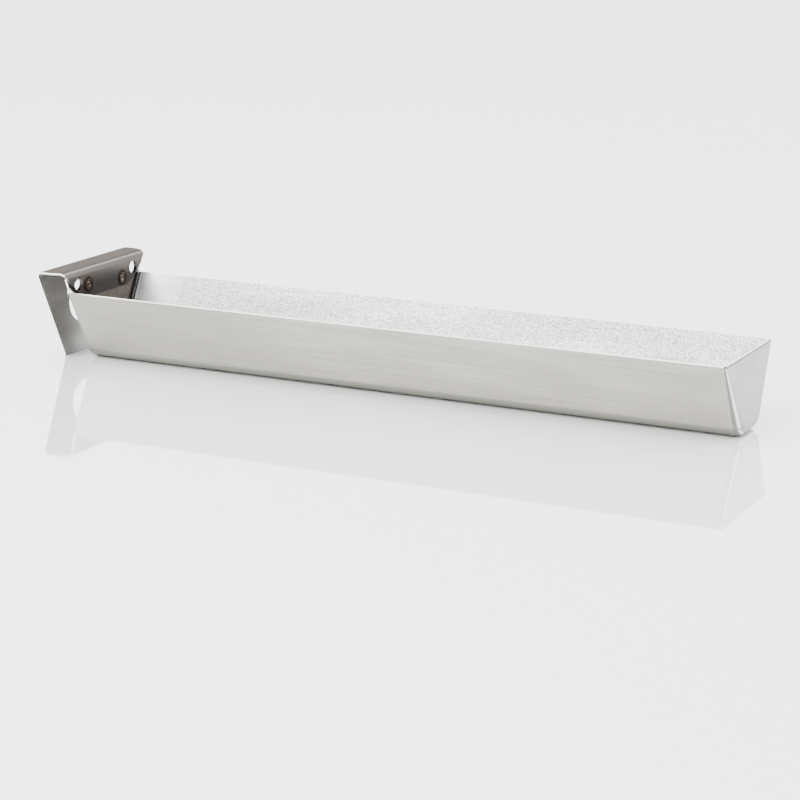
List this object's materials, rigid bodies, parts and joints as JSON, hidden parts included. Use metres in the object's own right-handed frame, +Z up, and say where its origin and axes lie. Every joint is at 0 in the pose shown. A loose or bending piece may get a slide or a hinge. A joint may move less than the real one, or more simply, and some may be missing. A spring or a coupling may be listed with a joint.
{
  "type": "trough slide",
  "caption": "Long open sheet-metal trough with sloping walls, closed ends and a folded hook-on bracket at one end",
  "frame": {"origin": "middle of the bounding box in plan, on the ground plane", "axes": "+X along the trough from the bracket end to the closed right end, +Y across the trough, +Z up"},
  "size_m": [1.0492, 0.2186, 0.138],
  "materials": {
    "brushed_sheet": "brushed lengthwise",
    "plain_sheet": "satin",
    "weld": "heat tinted",
    "ground_weld": "ground smooth"
  },
  "bodies": {
    "root": {"trough_channel": "brushed_sheet", "left_end_plate": "brushed_sheet", "right_end_plate": "brushed_sheet", "hook_bracket": "plain_sheet", "plug_weld_front": "weld", "plug_weld_back": "weld", "left_front_corner_weld": "weld", "left_back_corner_weld": "weld", "left_floor_weld": "weld", "right_front_corner_weld": "ground_weld", "right_back_corner_weld": "ground_weld", "right_floor_weld": "ground_weld"}
  },
  "joints": []
}
